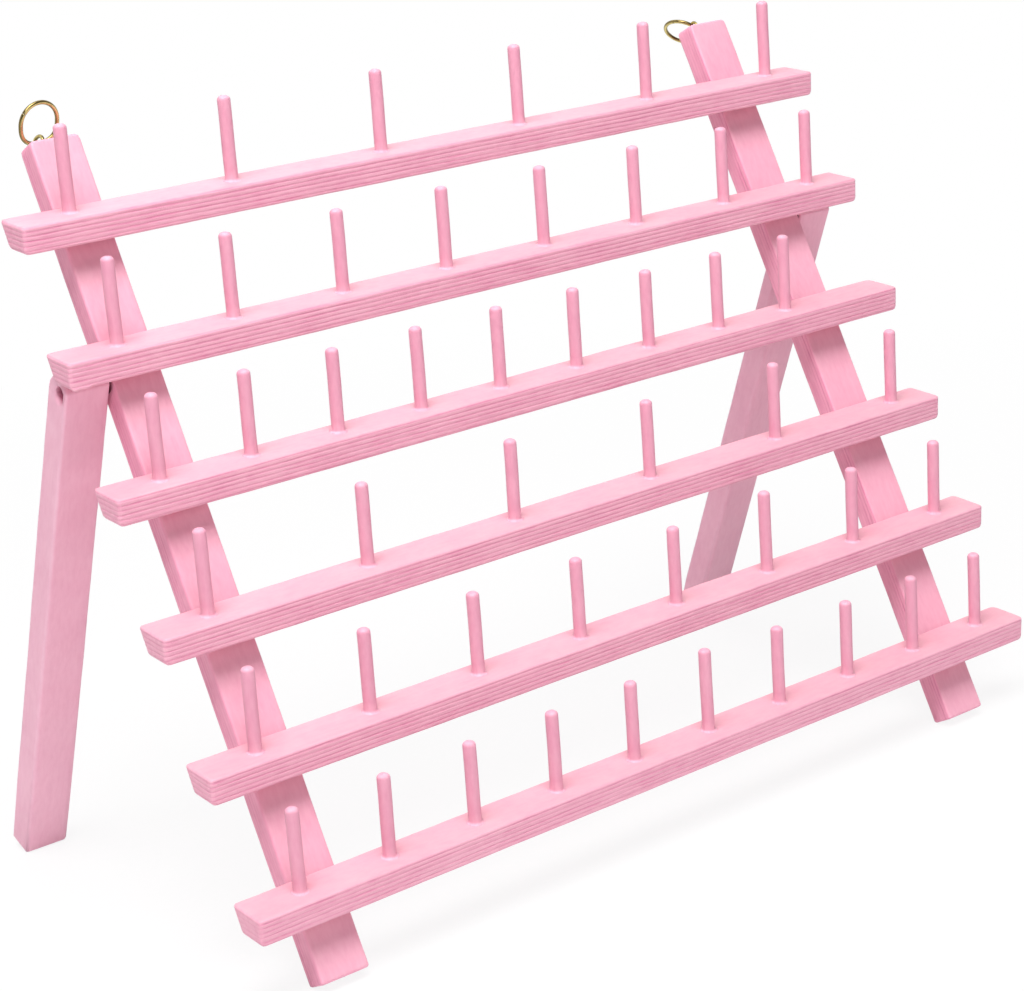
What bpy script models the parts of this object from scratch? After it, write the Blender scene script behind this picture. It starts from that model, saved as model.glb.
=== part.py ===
"""A folding rack for spools of thread, in painted wood.

Six flat bars lie across two leaning stiles and carry upright pegs. Two legs turn on screws in the
stiles' outer edges, below the second bar, and fold flat beside the stiles. A ring in a screw eye at
the top of each stile hangs the folded rack on a wall.

Frame: metres, +X along the bars to the viewer's right, +Y to the back, +Z up. The origin is on the
ground, in the middle of the whole rack's outline seen from above. Rows count from the top bar, and
places on a bar count from its left end.
"""
import math

import bmesh
import bpy
from mathutils import Matrix, Vector

MM = 0.001

# Gaps between pieces
CLEARANCE = 0.3 * MM        # between two pieces that touch on the real rack
OVERRUN = 5 * MM            # how far a cutter runs past the face that it cuts

# Angles, in degrees
STILE_LEAN = 26.84          # the stiles lean back from vertical
BAR_TILT = 3.56             # the bars' top faces rise to the back
PEG_LEAN = 0.3              # the pegs lean back from vertical
LEG_LEAN = 21.6             # the open legs lean the other way, feet to the back

# Bars
BAR_LENGTH = 450 * MM       # cut by hand, so each bar's ends lie a little off this
BAR_LEFT_EXTRAS = (1.3 * MM, 1.8 * MM, 1 * MM, 1.8 * MM, 2.6 * MM, 2.6 * MM)
BAR_RIGHT_EXTRAS = (-1.8 * MM, 1 * MM, 0.5 * MM, 1.2 * MM, 2.6 * MM, 1 * MM)
BAR_DEPTH = 20.5 * MM       # front to back on the top face
BAR_THICKNESS = 12 * MM
BAR_ROUNDING = 1 * MM
BAR_PITCH = 59 * MM         # from bar to bar along the stiles
PLACES = (6, 8, 10, 6, 8, 10)

# Pegs
PEG_DIAMETER = 5.8 * MM
PEG_STAND = 37.5 * MM       # how far a peg stands out of its bar
PEG_SEAT = 8 * MM           # how deep it sits in its bore
PEG_ROUNDING = 1.3 * MM
PEG_END_SPACES = (25.9 * MM, 25.9 * MM, 24.5 * MM, 24.5 * MM, 24 * MM, 23.6 * MM)
                            # from half a bar's length to its outer pegs' middles, before the shift
PEG_SHIFTS = (0.2 * MM, 0.9 * MM, 0.5 * MM, 0.9 * MM, 1.3 * MM, 0)   # a row's pegs, to the right
PROUD = 2.2 * MM            # two pegs were driven less deep
PROUD_PEGS = ("peg_5_6", "peg_6_6")
MISSING_PEGS = ("peg_3_10",)
JOINED_BARS = ("bar_1",)    # bars that are one solid with their glued pegs
PEG_SIDES = 12

# Stiles
STILE_WIDTH = 24 * MM
STILE_THICKNESS = 12 * MM
STILE_ROUNDING = 1.5 * MM
STILE_INSET = 38.5 * MM     # from the bars' ends to the stiles' middles, before the shift
FRAME_SHIFT = -2.6 * MM     # the stiles' middle from the bars' middle
TOP_ABOVE_BAR = 30.8 * MM   # from the top bar's upper back edge to the stile's top end
FOOT_BELOW_BAR = 44.7 * MM  # from the lowest bar's upper back edge to the stile's foot

# Legs
LEG_ROW = 2                 # the bar that the open legs bear on
LEG_WIDTH = 21.4 * MM
LEG_THICKNESS = 14.4 * MM
LEG_ROUNDING = 1.2 * MM
LEG_TOP = 8 * MM            # from the pivot to the leg's top end
LEG_FRONT = 4.9 * MM        # from the leg's front face to the pivot
LEG_TOP_STEPS = 4
FOLD_GAP = 0.7 * MM         # from a folded leg to the bars' backs
PIVOT_DROP = 3.3 * MM       # from that bar's lower back edge to the pivot, along the stile

# Pivot screws and washers
SCREW_DIAMETER = 3.8 * MM
SCREW_IN_STILE = 13 * MM
SCREW_POINT = 4 * MM
SCREW_POINT_DIAMETER = 1 * MM
HEAD_DIAMETER = 6.2 * MM
HEAD_HEIGHT = 2.2 * MM
HEAD_EDGE = 1 * MM
COUNTERBORE_DIAMETER = 7 * MM
COUNTERBORE_LAND = 8 * MM   # wood left between the counterbore's floor and the stile's side
WASHER_DIAMETER = 9 * MM
WASHER_THICKNESS = 0.4 * MM
ROUND_SIDES = 16

# Screw eyes and rings
EYE_WIRE = 1.6 * MM
EYE_BORE = 3.9 * MM         # inside width of the eye's loop
EYE_STAND = 3.9 * MM        # from the stile's upper back edge to the middle of the loop
EYE_SHANK = 8.5 * MM        # length in the wood
EYE_SLANT = 45.0            # the shank's angle to the stile
EYE_SHIFTS = {"left": 0, "right": 3.5 * MM}      # from the stile's middle, to the right
RING_WIRE = 2 * MM
RING_OUTSIDE = 20.2 * MM
RING_TILTS = {"left": -40.8, "right": 83.6}      # how far a ring leans back from the stile
RING_TWISTS = {"left": 4.5, "right": 39.0}       # how far it is turned about its own upright
RING_SIDES = 32
WIRE_SIDES = 8

# Directions in the side view
LEAN = math.radians(STILE_LEAN)
TILT = math.radians(BAR_TILT)
SPLAY = math.radians(LEG_LEAN)
SLANT = math.radians(EYE_SLANT)
STILE_UP = Vector((0, math.sin(LEAN), math.cos(LEAN)))
STILE_BACK = Vector((0, math.cos(LEAN), -math.sin(LEAN)))
BAR_BACK = Vector((0, math.cos(TILT), math.sin(TILT)))
LEG_DOWN = Vector((0, math.sin(SPLAY), -math.cos(SPLAY)))
LEG_BACK = Vector((0, math.cos(SPLAY), math.sin(SPLAY)))
UPRIGHT = Matrix.Rotation(math.pi / 2, 4, "Z") @ Matrix.Rotation(math.pi / 2, 4, "X")

# Worked out from the sizes above
ROWS = len(PLACES)
BAR_BEVEL = LEAN + TILT                     # the angle between a bar's back face and upright to it
OPENING = LEAN + SPLAY                      # the angle between an open leg and its stile
STILE_BEHIND = CLEARANCE                    # from the bars' backs to the stiles' fronts
STILE_SPACING = BAR_LENGTH - 2 * STILE_INSET
PIVOT_BEHIND = LEG_FRONT + FOLD_GAP
LEG_REAR = LEG_THICKNESS - LEG_FRONT        # from the pivot to the leg's back face
SIDE_GAP = WASHER_THICKNESS + 2 * CLEARANCE
RING_RADIUS = (RING_OUTSIDE - RING_WIRE) / 2
EYE_RADIUS = (EYE_BORE + EYE_WIRE) / 2


def corner_drop(rounding, lean):
    """How far a square end's sharp lower corner would lie below the lowest of its rounding's points."""
    side_point = math.sin(lean)
    middle_point = (1 - math.cos(math.pi / 4)) * (math.sin(lean) + math.cos(lean))
    return rounding * min(side_point, middle_point)


def leg_pivot_from_seat():
    """The legs' axis, measured from the lowest bar's upper back edge."""
    bars_up = ROWS - LEG_ROW
    back_face = BAR_THICKNESS / math.cos(BAR_BEVEL)
    height = bars_up * BAR_PITCH - back_face - PIVOT_DROP
    return STILE_UP * height + STILE_BACK * PIVOT_BEHIND


def seat_height():
    """Height of the lowest bar's upper back edge when the stiles' feet stand on the ground."""
    sharp = FOOT_BELOW_BAR * STILE_UP.z - (STILE_BEHIND + STILE_THICKNESS) * STILE_BACK.z
    return sharp - corner_drop(STILE_ROUNDING, LEAN)


def leg_length(pivot_height):
    """From the pivot to the square foot whose front edge stands on the ground."""
    front_edge = pivot_height - LEG_FRONT * LEG_BACK.z
    return (front_edge + corner_drop(LEG_ROUNDING, SPLAY)) / -LEG_DOWN.z


PIVOT_FROM_SEAT = leg_pivot_from_seat()
LEG_LENGTH = leg_length(PIVOT_FROM_SEAT.z + seat_height())
FRONT = -BAR_DEPTH * BAR_BACK.y
BACK = (PIVOT_FROM_SEAT + LEG_DOWN * LEG_LENGTH + LEG_BACK * LEG_REAR).y
SEAT = Vector((0, -(FRONT + BACK) / 2, seat_height()))
PIVOT = SEAT + PIVOT_FROM_SEAT
STILE_TOP = (ROWS - 1) * BAR_PITCH + TOP_ABOVE_BAR


def collection(name):
    made = bpy.data.collections.new(name)
    bpy.context.scene.collection.children.link(made)
    return made


def material(name, colour, roughness, metallic):
    made = bpy.data.materials.new(name)
    made.use_nodes = True
    shader = made.node_tree.nodes["Principled BSDF"]
    shader.inputs["Base Color"].default_value = (*colour, 1)
    shader.inputs["Roughness"].default_value = roughness
    shader.inputs["Metallic"].default_value = metallic
    return made


def add_object(name, mesh, look, place=Matrix.Identity(4), group=None):
    """Make the object; without a material it is a cutter or a guide, which stays out of the part."""
    made = bpy.data.objects.new(name, mesh)
    made.matrix_world = place
    if look is None:
        made.hide_render = True
        made.display_type = "WIRE"
        CUTTERS.objects.link(made)
    else:
        mesh.materials.clear()
        mesh.materials.append(look)
        (group or RACK).objects.link(made)
    return made


def box_mesh(name, low, high):
    """A box from the cube primitive, between two corners."""
    low, high = Vector(low), Vector(high)
    shape = bmesh.new()
    bmesh.ops.create_cube(shape, size=1)
    bmesh.ops.scale(shape, verts=shape.verts, vec=high - low)
    bmesh.ops.translate(shape, verts=shape.verts, vec=(low + high) / 2)
    mesh = bpy.data.meshes.new(name)
    shape.to_mesh(mesh)
    shape.free()
    return mesh


def outline_mesh(name, points, thickness):
    """A flat outline of (across, up) points, filled and given a thickness, with X along it."""
    curve = bpy.data.curves.new(name, "CURVE")
    curve.dimensions = "2D"
    curve.fill_mode = "BOTH"
    curve.extrude = thickness / 2
    spline = curve.splines.new("POLY")
    spline.points.add(len(points) - 1)
    for point, (across, up) in zip(spline.points, points):
        point.co = (across, up, 0, 1)
    spline.use_cyclic_u = True
    flat = bpy.data.objects.new(name, curve)
    bpy.context.scene.collection.objects.link(flat)
    bpy.context.view_layer.update()
    mesh = bpy.data.meshes.new_from_object(flat.evaluated_get(bpy.context.evaluated_depsgraph_get()))
    bpy.data.objects.remove(flat)
    bpy.data.curves.remove(curve)
    shape = bmesh.new()
    shape.from_mesh(mesh)
    bmesh.ops.remove_doubles(shape, verts=shape.verts, dist=CLEARANCE / 100)
    bmesh.ops.transform(shape, matrix=UPRIGHT, verts=shape.verts)
    bmesh.ops.recalc_face_normals(shape, faces=shape.faces)
    shape.to_mesh(mesh)
    shape.free()
    mesh.name = name
    return mesh


def cylinders_mesh(name, diameter, low, high, places, sides):
    """One cylinder along each place's own Z axis, from the cone primitive."""
    shape = bmesh.new()
    for place in places:
        middle = Matrix.Translation((0, 0, (low + high) / 2))
        bmesh.ops.create_cone(
            shape, cap_ends=True, segments=sides, radius1=diameter / 2, radius2=diameter / 2,
            depth=high - low, matrix=place @ middle)
    mesh = bpy.data.meshes.new(name)
    shape.to_mesh(mesh)
    shape.free()
    return mesh


def profile_mesh(name, outline):
    """An open outline of (radius, height) points, for the Screw modifier to turn."""
    points = [(radius, 0, height) for radius, height in outline]
    edges = [(at, at + 1) for at in range(len(points) - 1)]
    mesh = bpy.data.meshes.new(name)
    mesh.from_pydata(points, edges, [])
    return mesh


def turn(made, sides):
    """Turn a profile about the object's own Z axis."""
    screw = made.modifiers.new("turn", "SCREW")
    screw.axis = "Z"
    screw.steps = sides
    screw.render_steps = sides
    screw.use_merge_vertices = True
    screw.merge_threshold = CLEARANCE / 100
    screw.use_smooth_shade = True
    return made


def round_edges(made, width):
    bevel = made.modifiers.new("rounding", "BEVEL")
    bevel.width = width
    bevel.segments = 2
    bevel.limit_method = "ANGLE"
    bevel.angle_limit = math.radians(30)


def boolean(made, other, operation):
    change = made.modifiers.new(other.name, "BOOLEAN")
    change.operation = operation
    change.solver = "EXACT"
    change.object = other


def bar_place(row):
    """A bar's frame: origin at the middle of its upper back edge, Z up from its top face."""
    bars_up = ROWS - row
    return Matrix.Translation(SEAT + STILE_UP * (bars_up * BAR_PITCH)) @ Matrix.Rotation(TILT, 4, "X")


def peg_name(row, place):
    return f"peg_{row}_{place}"


def peg_places(row):
    """The pegs of a row: their place number and a frame with Z up the peg, on the bar's top face."""
    count = PLACES[row - 1]
    reach = BAR_LENGTH / 2 - PEG_END_SPACES[row - 1]
    step = 2 * reach / (count - 1)
    upright = Matrix.Rotation(-math.radians(PEG_LEAN), 4, "X")
    for place in range(1, count + 1):
        if peg_name(row, place) in MISSING_PEGS:
            continue
        across = PEG_SHIFTS[row - 1] - reach + step * (place - 1)
        middle = bar_place(row) @ Vector((across, -BAR_DEPTH / 2, 0))
        yield place, Matrix.Translation(middle) @ upright


def make_bar(row, paint):
    """A plywood strip whose back face is bevelled to lie on the leaning stiles."""
    name = f"bar_{row}"
    left = -BAR_LENGTH / 2 - BAR_LEFT_EXTRAS[row - 1]
    right = BAR_LENGTH / 2 + BAR_RIGHT_EXTRAS[row - 1]
    mesh = box_mesh(name, (left, -BAR_DEPTH, -BAR_THICKNESS), (right, 0, 0))
    for corner in mesh.vertices:
        if corner.co.y > -BAR_DEPTH / 2 and corner.co.z < -BAR_THICKNESS / 2:
            corner.co.y = -BAR_THICKNESS * math.tan(BAR_BEVEL)
    bar = add_object(name, mesh, paint, bar_place(row))
    round_edges(bar, BAR_ROUNDING)
    if name in JOINED_BARS:
        for place, stand in peg_places(row):
            boolean(bar, make_peg(row, place, stand, None), "UNION")
        return
    bores = [bar.matrix_world.inverted() @ stand for _, stand in peg_places(row)]
    mesh = cylinders_mesh(
        f"bores_{row}", PEG_DIAMETER + 2 * CLEARANCE, -PEG_SEAT - CLEARANCE, OVERRUN, bores, PEG_SIDES)
    boolean(bar, add_object(f"bores_{row}", mesh, None, bar.matrix_world), "DIFFERENCE")
    for place, stand in peg_places(row):
        make_peg(row, place, stand, paint)


def make_peg(row, place, stand, paint):
    """A dowel with a rounded top, standing in its bore."""
    name = peg_name(row, place)
    proud = PROUD if name in PROUD_PEGS else 0
    radius, top, foot = PEG_DIAMETER / 2, PEG_STAND + proud, -PEG_SEAT
    outline = [(0, top)]
    for turn_angle in (90, 45, 0):
        angle = math.radians(turn_angle)
        across = radius - PEG_ROUNDING + PEG_ROUNDING * math.cos(angle)
        outline.append((across, top - PEG_ROUNDING + PEG_ROUNDING * math.sin(angle)))
    outline += [(radius, foot + proud), (0, foot + proud)]
    return turn(add_object(name, profile_mesh(name, outline), paint, stand), PEG_SIDES)


def stile_place(side):
    """A stile's frame: Z up the stile, origin level with the lowest bar's upper back edge."""
    across = Vector((FRAME_SHIFT + side * STILE_SPACING / 2, 0, 0))
    return Matrix.Translation(SEAT + across) @ Matrix.Rotation(-LEAN, 4, "X")


def pivot_place(side, outwards):
    """A frame on the leg's axis with its Z axis outwards, at a distance from the stile's middle."""
    across = Vector((FRAME_SHIFT + side * (STILE_SPACING / 2 + outwards), 0, 0))
    return Matrix.Translation(PIVOT + across) @ Matrix.Rotation(side * math.pi / 2, 4, "Y")


def eye_place(side, shift):
    """A frame in the middle of the eye's loop, Z away from the wood along the slanting shank."""
    corner = Vector((shift, STILE_BEHIND + STILE_THICKNESS, STILE_TOP))
    middle = corner + Vector((0, math.sin(SLANT), math.cos(SLANT))) * EYE_STAND
    return stile_place(side) @ Matrix.Translation(middle) @ Matrix.Rotation(-SLANT, 4, "X")


def make_stile(name, side, shift, paint):
    low = (-STILE_WIDTH / 2, STILE_BEHIND, -FOOT_BELOW_BAR)
    high = (STILE_WIDTH / 2, STILE_BEHIND + STILE_THICKNESS, STILE_TOP)
    stile = add_object(name, box_mesh(name, low, high), paint, stile_place(side))
    round_edges(stile, STILE_ROUNDING)
    to_stile = stile.matrix_world.inverted()
    mesh = cylinders_mesh(
        f"{name}_screw_bore", SCREW_DIAMETER + 2 * CLEARANCE, -SCREW_IN_STILE - CLEARANCE, OVERRUN,
        [to_stile @ pivot_place(side, STILE_WIDTH / 2)], ROUND_SIDES)
    boolean(stile, add_object(f"{name}_screw_bore", mesh, None, stile.matrix_world), "DIFFERENCE")
    mesh = cylinders_mesh(
        f"{name}_eye_bore", EYE_WIRE + 2 * CLEARANCE, -EYE_STAND - EYE_SHANK - CLEARANCE, 0,
        [to_stile @ eye_place(side, shift)], WIRE_SIDES)
    boolean(stile, add_object(f"{name}_eye_bore", mesh, None, stile.matrix_world), "DIFFERENCE")


def make_leg(name, side, paint):
    """A leg whose top end has a slanting flat, which bears on the back of a bar when the leg is open.

    Its origin is on its pivot's axis, Z up the leg and Y to the back. A point of the flat, a up and
    b back from the pivot, lies on the stop plane: a sin(opening) = distance + b cos(opening).
    """
    to_stop = PIVOT_BEHIND - CLEARANCE
    slant_foot = (to_stop - LEG_FRONT * math.cos(OPENING)) / math.sin(OPENING)
    slant_top = (LEG_TOP * math.sin(OPENING) - to_stop) / math.cos(OPENING)
    radius = LEG_REAR - slant_top
    outline = [(-LEG_FRONT, slant_foot), (-LEG_FRONT, -LEG_LENGTH), (LEG_REAR, -LEG_LENGTH)]
    for step in range(LEG_TOP_STEPS + 1):
        angle = math.pi / 2 * step / LEG_TOP_STEPS
        outline.append((slant_top + radius * math.cos(angle), LEG_TOP - radius + radius * math.sin(angle)))
    across = STILE_WIDTH / 2 + SIDE_GAP + LEG_WIDTH / 2
    middle = PIVOT + Vector((FRAME_SHIFT + side * (STILE_SPACING / 2 + across), 0, 0))
    place = Matrix.Translation(middle) @ Matrix.Rotation(SPLAY, 4, "X")
    leg = add_object(name, outline_mesh(name, outline, LEG_WIDTH), paint, place)
    round_edges(leg, LEG_ROUNDING)
    to_leg = leg.matrix_world.inverted()
    inner = STILE_WIDTH / 2 + SIDE_GAP
    mesh = cylinders_mesh(
        f"{name}_bore", SCREW_DIAMETER + 2 * CLEARANCE, -OVERRUN, LEG_WIDTH + OVERRUN,
        [to_leg @ pivot_place(side, inner)], ROUND_SIDES)
    boolean(leg, add_object(f"{name}_bore", mesh, None, leg.matrix_world), "DIFFERENCE")
    mesh = cylinders_mesh(
        f"{name}_counterbore", COUNTERBORE_DIAMETER, COUNTERBORE_LAND, LEG_WIDTH + OVERRUN,
        [to_leg @ pivot_place(side, inner)], ROUND_SIDES)
    boolean(leg, add_object(f"{name}_counterbore", mesh, None, leg.matrix_world), "DIFFERENCE")


def make_pivot_screw(name, side, look):
    """A round-headed wood screw; its origin is under the head, on the counterbore's floor."""
    head, shank, point = HEAD_DIAMETER / 2, SCREW_DIAMETER / 2, SCREW_POINT_DIAMETER / 2
    reach = CLEARANCE + COUNTERBORE_LAND + SIDE_GAP + SCREW_IN_STILE
    outline = [(0, HEAD_HEIGHT)]
    for turn_angle in (60, 30, 0):
        angle = math.radians(turn_angle)
        rise = (HEAD_HEIGHT - HEAD_EDGE) * math.sin(angle)
        outline.append((head * math.cos(angle), HEAD_EDGE + rise))
    outline += [(head, 0), (shank, 0), (shank, SCREW_POINT - reach), (point, -reach), (0, -reach)]
    under_head = STILE_WIDTH / 2 + SIDE_GAP + COUNTERBORE_LAND + CLEARANCE
    turn(add_object(name, profile_mesh(name, outline), look, pivot_place(side, under_head)), ROUND_SIDES)


def make_washer(name, side, look):
    """A flat washer on the screw, between the leg and the stile."""
    inside, outside = SCREW_DIAMETER / 2 + CLEARANCE, WASHER_DIAMETER / 2
    outline = [(inside, WASHER_THICKNESS), (outside, WASHER_THICKNESS), (outside, 0), (inside, 0)]
    outline.append(outline[0])
    on_stile = pivot_place(side, STILE_WIDTH / 2 + CLEARANCE)
    turn(add_object(name, profile_mesh(name, outline), look, on_stile), ROUND_SIDES)


def torus_mesh(name, radius, wire, sides):
    """A ring from the torus primitive, its axis along Z."""
    bpy.ops.mesh.primitive_torus_add(
        major_radius=radius, minor_radius=wire / 2, major_segments=sides, minor_segments=WIRE_SIDES)
    made = bpy.context.object
    mesh = made.data
    mesh.name = name
    bpy.data.objects.remove(made)
    return mesh


def make_eye(name, side, shift, look):
    """A screw eye: a small loop, edge on to the viewer, on a slanting shank."""
    mesh = torus_mesh(name, EYE_RADIUS, EYE_WIRE, ROUND_SIDES)
    mesh.transform(Matrix.Rotation(math.pi / 2, 4, "Y"))
    eye = add_object(name, mesh, look, eye_place(side, shift))
    mesh = cylinders_mesh(
        f"{name}_shank", EYE_WIRE, -EYE_STAND - EYE_SHANK, -EYE_RADIUS, [Matrix.Identity(4)], WIRE_SIDES)
    boolean(eye, add_object(f"{name}_shank", mesh, None, eye.matrix_world), "UNION")


def make_ring(name, side, shift, tilt, twist, look):
    """A wire ring whose lowest stretch lies in the eye's loop; its origin is on that hinge axis."""
    mesh = torus_mesh(name, RING_RADIUS, RING_WIRE, RING_SIDES)
    upright = Matrix.Rotation(math.radians(twist), 4, "Z") @ Matrix.Rotation(math.pi / 2, 4, "X")
    mesh.transform(Matrix.Translation((0, 0, RING_RADIUS)) @ upright)
    hinge = Matrix.Translation(eye_place(side, shift).translation)
    lean = Matrix.Rotation(-LEAN - math.radians(tilt), 4, "X")
    add_object(name, mesh, look, hinge @ lean)


for old in list(bpy.data.objects):
    bpy.data.objects.remove(old)

RACK = collection("thread_rack")
CUTTERS = collection("cutters")
PAINT = material("pink_paint", (0.86, 0.38, 0.54), 0.45, 0)
BRASS = material("brass", (0.75, 0.50, 0.16), 0.25, 1)
STEEL = material("zinc_plated_steel", (0.62, 0.62, 0.60), 0.35, 1)

for row in range(1, ROWS + 1):
    make_bar(row, PAINT)

for name, side in (("left", -1), ("right", 1)):
    shift = EYE_SHIFTS[name]
    make_stile(f"{name}_stile", side, shift, PAINT)
    make_leg(f"{name}_leg", side, PAINT)
    make_pivot_screw(f"{name}_pivot_screw", side, STEEL)
    make_washer(f"{name}_washer", side, STEEL)
    make_eye(f"{name}_screw_eye", side, shift, BRASS)
    make_ring(f"{name}_ring", side, shift, RING_TILTS[name], RING_TWISTS[name], BRASS)
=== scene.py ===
import math

import bpy
import numpy as np
from mathutils import Matrix, Vector


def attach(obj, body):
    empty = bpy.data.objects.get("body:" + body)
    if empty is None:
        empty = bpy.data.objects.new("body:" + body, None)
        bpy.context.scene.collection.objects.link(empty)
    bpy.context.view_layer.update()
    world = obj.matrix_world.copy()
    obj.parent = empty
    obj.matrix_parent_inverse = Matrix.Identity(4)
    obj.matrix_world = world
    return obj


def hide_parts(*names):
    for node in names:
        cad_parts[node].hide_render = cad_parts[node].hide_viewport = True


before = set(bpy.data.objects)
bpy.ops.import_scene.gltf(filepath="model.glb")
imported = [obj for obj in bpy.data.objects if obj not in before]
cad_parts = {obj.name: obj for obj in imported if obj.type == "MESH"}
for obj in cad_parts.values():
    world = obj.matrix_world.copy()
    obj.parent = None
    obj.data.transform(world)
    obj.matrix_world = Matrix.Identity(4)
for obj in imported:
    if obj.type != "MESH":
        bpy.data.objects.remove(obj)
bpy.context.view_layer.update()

# ------------------------
# Stiles. Two strips of 12 mm plywood, sawn to length and sanded round along every edge.
# Satin pink paint covers them, and the ply edges still read through it as fine grooves.
# The bars are glued across their fronts, and the whole rack leans back on them.
# ------------------------
stile_lean = math.radians(26.84)
stile_up = np.array((0, math.sin(stile_lean), math.cos(stile_lean)))
stile_back = np.array((0, math.cos(stile_lean), -math.sin(stile_lean)))
lowest_seat = np.array((0, -0.092830, 0.044848))  # the lowest bar's upper back edge
stile_width, stile_thickness = 0.0240, 0.0120
stile_foot, stile_top = -0.04466, 0.3258  # along the stile, from that edge
stile_gap = 0.0003  # between the bars and the stiles
stile_middles = {"left_stile": -0.1891, "right_stile": 0.1839}
stile_foot_corner, stile_top_corner = 0.0012, 0.0026  # radii of the outline's corners, seen from the front
stile_steps = (180, 20, 46)  # mesh steps along, across and through
ply_pitch, first_ply = 0.0020, 0.00108  # from groove to groove, and from the face to the first
ply_strength = {"left_stile": (0.30, 0.75), "right_stile": (1.0, 0.35)}  # before the board's middle, and behind it
ply_change = 0.0020  # over this distance from the middle, one strength becomes the other
stile_groove_depth = 0.00014
paint_allowance = 0.00014  # drawn in all over, so that the waves stay within the size
sanded = 0.0014
# The stiles' face colour (front and back) and edge colour (sides and ends) are one paint in two tones, as painted
# light: the faces paler as lit, the sides and ends a deeper pink as shaded.
painted_light_face, painted_light_edge = (0.85, 0.437, 0.540), (0.92, 0.415, 0.550)
paint_deep = (0.66, 0.175, 0.320)


def side_steps(half, rounding, count):
    """Places across one side of a block: even over its flat, then three on each rounded edge. Those lie past the
    flat by the rounding times the tangents of 15, 30 and 45 degrees, so that they share out the turn evenly."""
    turn = rounding * np.tan(np.radians((15, 30, 45)))
    flat = half - rounding
    return np.concatenate((-flat - turn[::-1], np.linspace(-flat, flat, count), flat + turn))


def sanded_block(halves, rounding, counts):
    """A block with rounded edges, as inner points, outward directions and quads.

    Each point of a grid on the six sides is drawn in to the nearest point of an inner block, smaller by the
    rounding all round. The direction from there to the grid's point is the way that the surface faces.
    """
    halves = np.array(halves, float)
    steps = [side_steps(h, rounding, n) for h, n in zip(halves, counts)]
    points, quads, start = [], [], 0
    for axis in range(3):
        one, two = (axis + 1) % 3, (axis + 2) % 3
        a, b = np.meshgrid(steps[one], steps[two], indexing="ij")
        for side in (-1, 1):
            grid = np.empty((a.size, 3))
            grid[:, one], grid[:, two], grid[:, axis] = a.ravel(), b.ravel(), side * halves[axis]
            index = np.arange(a.size).reshape(a.shape) + start
            quad = np.stack((index[:-1, :-1], index[1:, :-1], index[1:, 1:], index[:-1, 1:]), -1).reshape(-1, 4)
            quads.append(quad if side > 0 else quad[:, ::-1])
            points.append(grid)
            start += a.size
    points, quads = np.concatenate(points), np.concatenate(quads)
    places = np.round(points * 1e7).astype(np.int64)  # points of two sides within 0.1 micrometre become one
    _, first, where = np.unique(places, axis=0, return_index=True, return_inverse=True)
    points, quads = points[first], where.reshape(-1)[quads]
    inner = np.clip(points, rounding - halves, halves - rounding)
    outward = points - inner
    return inner, outward / np.linalg.norm(outward, axis=1, keepdims=True), quads


def eased_corners(one, two, half_one, half_two, radius, rounding):
    """An outline's corners, rounded a little already, drawn in to a larger radius.

    A point that lies past both of a corner's centre lines keeps its direction from the corner's centre. Its distance
    becomes the radius of the small rounding that it lies on plus the step between the two roundings' centres, or,
    short of the small rounding, the larger of its two distances past those lines. So the outline becomes a circle.
    """
    past_one = np.maximum(np.abs(one) - half_one + radius, 0)
    past_two = np.maximum(np.abs(two) - half_two + radius, 0)
    both = (past_one > 0) & (past_two > 0)
    step = np.maximum(radius - rounding, 0)
    beyond = np.hypot(np.maximum(past_one - step, 0), np.maximum(past_two - step, 0))
    reach = np.where(beyond > 0, step + beyond, np.maximum(past_one, past_two))
    share = np.where(both, reach / np.maximum(np.hypot(past_one, past_two), 1e-9), 1)
    return (np.where(both, np.sign(one) * (half_one - radius + past_one * share), one),
            np.where(both, np.sign(two) * (half_two - radius + past_two * share), two))


def ply_grooves(along, through, seed):
    """How far sanding and paint leave the soft plies below the surface, from 0 to 1.

    Half of one plus a cosine that turns once in each ply pitch through the board, to the power 2.5 to narrow it. Its
    place wanders by two slow waves of 0.12 and 0.08 mm along the board, and a third wave takes up to 56 % off it.
    """
    wander = 0.00012 * np.sin(along * 31 + seed) + 0.00008 * np.sin(along * 83 + 2.1 * seed)
    ridge = 0.5 + 0.5 * np.cos(2 * np.pi * (through + wander - first_ply) / ply_pitch)
    strength = 0.72 + 0.28 * np.sin(along * 57 + 1.7 * seed + 900 * through)
    return ridge ** 2.5 * strength


def hand_waves(strip, seed):
    """The unevenness that hand sanding and paint leave: the sum of three sine waves of 0.04, 0.03 and 0.02 mm, which
    run along the strip and slant a little across or through it."""
    along, across, through = strip.T
    return (0.00004 * np.sin(along * 47 + across * 160 + seed)
            + 0.00003 * np.sin(along * 133 + through * 240 + 3 * seed)
            + 0.00002 * np.sin(along * 290 + across * 90 + 5 * seed))


def place_strip(strip, origin, along, across, through):
    """Points given along, across and through a strip, set in the rack from an origin and three directions."""
    return origin + strip[:, :1] * along + strip[:, 1:2] * across + strip[:, 2:] * through


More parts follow.
